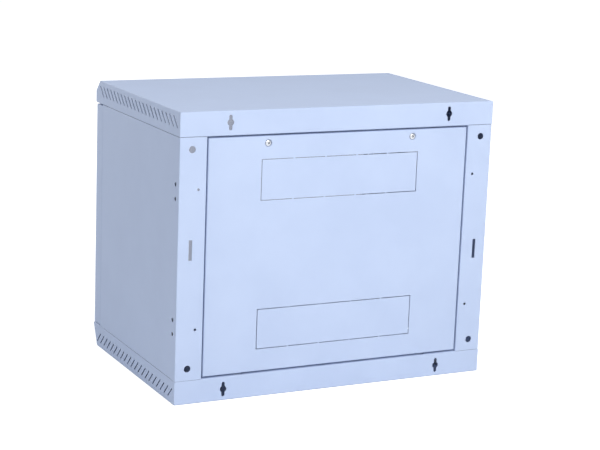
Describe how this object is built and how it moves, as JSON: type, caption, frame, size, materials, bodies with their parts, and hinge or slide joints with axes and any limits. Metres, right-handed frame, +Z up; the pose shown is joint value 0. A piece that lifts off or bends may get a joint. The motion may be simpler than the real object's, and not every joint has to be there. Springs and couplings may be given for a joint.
{
  "type": "wall mount network cabinet",
  "caption": "Wall mount network cabinet of folded sheet steel with a removable rear panel, knock-outs, side vents, a hinged glass door with lock and inner rails for rack equipment.",
  "frame": {"origin": "centre of the base, on the plane that the cabinet stands on", "axes": "+X to the right as seen from the front, +Y from the door to the wall, +Z up"},
  "size_m": [0.6, 0.4, 0.5],
  "materials": {
    "powder_coat": "fine satin powder coat, pale blue-grey",
    "zinc_sheet": "galvanised sheet",
    "bright_zinc": "bright zinc plate",
    "spring_steel": "drawn wire",
    "lock_metal": "chrome plated",
    "glass": "grey tinted tempered glass",
    "tape": "black foam tape",
    "rubber": "matt black rubber"
  },
  "bodies": {
    "cabinet": {"top_cover": "powder_coat", "bottom_tray": "powder_coat", "side_panel_right": "powder_coat", "side_panel_left": "powder_coat", "rear_panel": "powder_coat", "rear_panel_screws": "bright_zinc", "mounting_rail_right": "zinc_sheet", "mounting_rail_left": "zinc_sheet", "depth_rail_upper_right": "zinc_sheet", "depth_rail_upper_left": "zinc_sheet", "depth_rail_lower_right": "zinc_sheet", "depth_rail_lower_left": "zinc_sheet", "rail_bolts": "bright_zinc", "rail_nuts": "bright_zinc", "hinge_pivot_lower": "bright_zinc", "door_bumpers": "rubber", "earth_stud": "bright_zinc", "earth_nut": "bright_zinc"},
    "door": {"door_frame": "powder_coat", "glass_tape": "tape", "door_glass": "glass", "hinge_bracket": "zinc_sheet", "hinge_spring": "spring_steel", "lock_body": "lock_metal", "lock_nut": "bright_zinc"},
    "upper_pin": {"hinge_pin_upper": "bright_zinc"},
    "lock": {"lock_plug": "lock_metal", "lock_cam": "bright_zinc", "lock_cam_nut": "bright_zinc"}
  },
  "joints": [
    {"name": "door_hinge", "type": "hinge", "parent": "cabinet", "child": "door", "pos_m": [-0.291, -0.1905, 0.25], "axis": [0, 0, -1], "range_deg": [0, 180]},
    {"name": "lock_turn", "type": "hinge", "parent": "door", "child": "lock", "pos_m": [0.278, -0.19, 0.25], "axis": [0, 1, 0], "range_deg": [0, 90]},
    {"name": "hinge_pin_pull", "type": "slide", "parent": "door", "child": "upper_pin", "axis": [0, 0, -1], "range_m": [0, 0.009], "stiffness_N_per_m": 300, "springref_m": -0.01, "deforming": ["hinge_spring"]}
  ]
}
